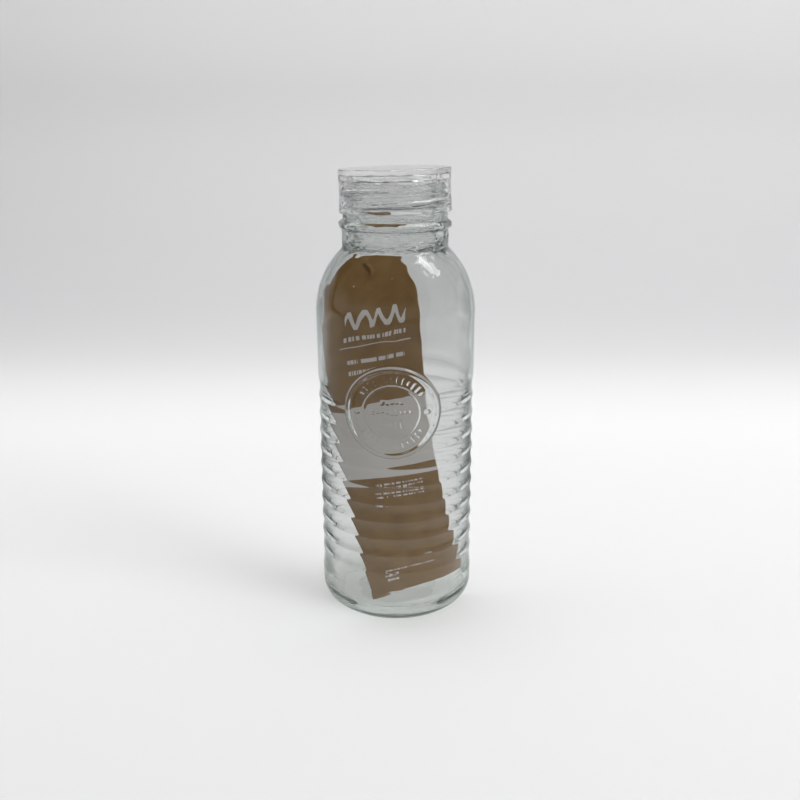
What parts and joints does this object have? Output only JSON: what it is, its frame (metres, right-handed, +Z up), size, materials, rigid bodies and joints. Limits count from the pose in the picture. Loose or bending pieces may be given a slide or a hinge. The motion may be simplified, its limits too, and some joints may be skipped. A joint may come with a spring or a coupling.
{
  "type": "glass water bottle",
  "caption": "Clear glass water bottle with a ribbed body, a round raised seal, a clear screw cap and a kraft paper tag standing inside.",
  "frame": {"origin": "middle of the foot, on the surface the bottle stands on", "axes": "+Z up along the bottle's axis, -Y towards the side with the round seal, +X to the right of someone who looks at the seal"},
  "size_m": [0.0684, 0.0695, 0.1939],
  "materials": {
    "clear_glass": "clear glass, faintly green, glossy",
    "clear_plastic": "clear colourless moulded plastic, glossy",
    "kraft_paper": "brown uncoated kraft card with pale grey printed fields"
  },
  "bodies": {
    "root": {"bottle_glass": "clear_glass", "screw_cap": "clear_plastic", "paper_tag": "kraft_paper"}
  },
  "joints": []
}
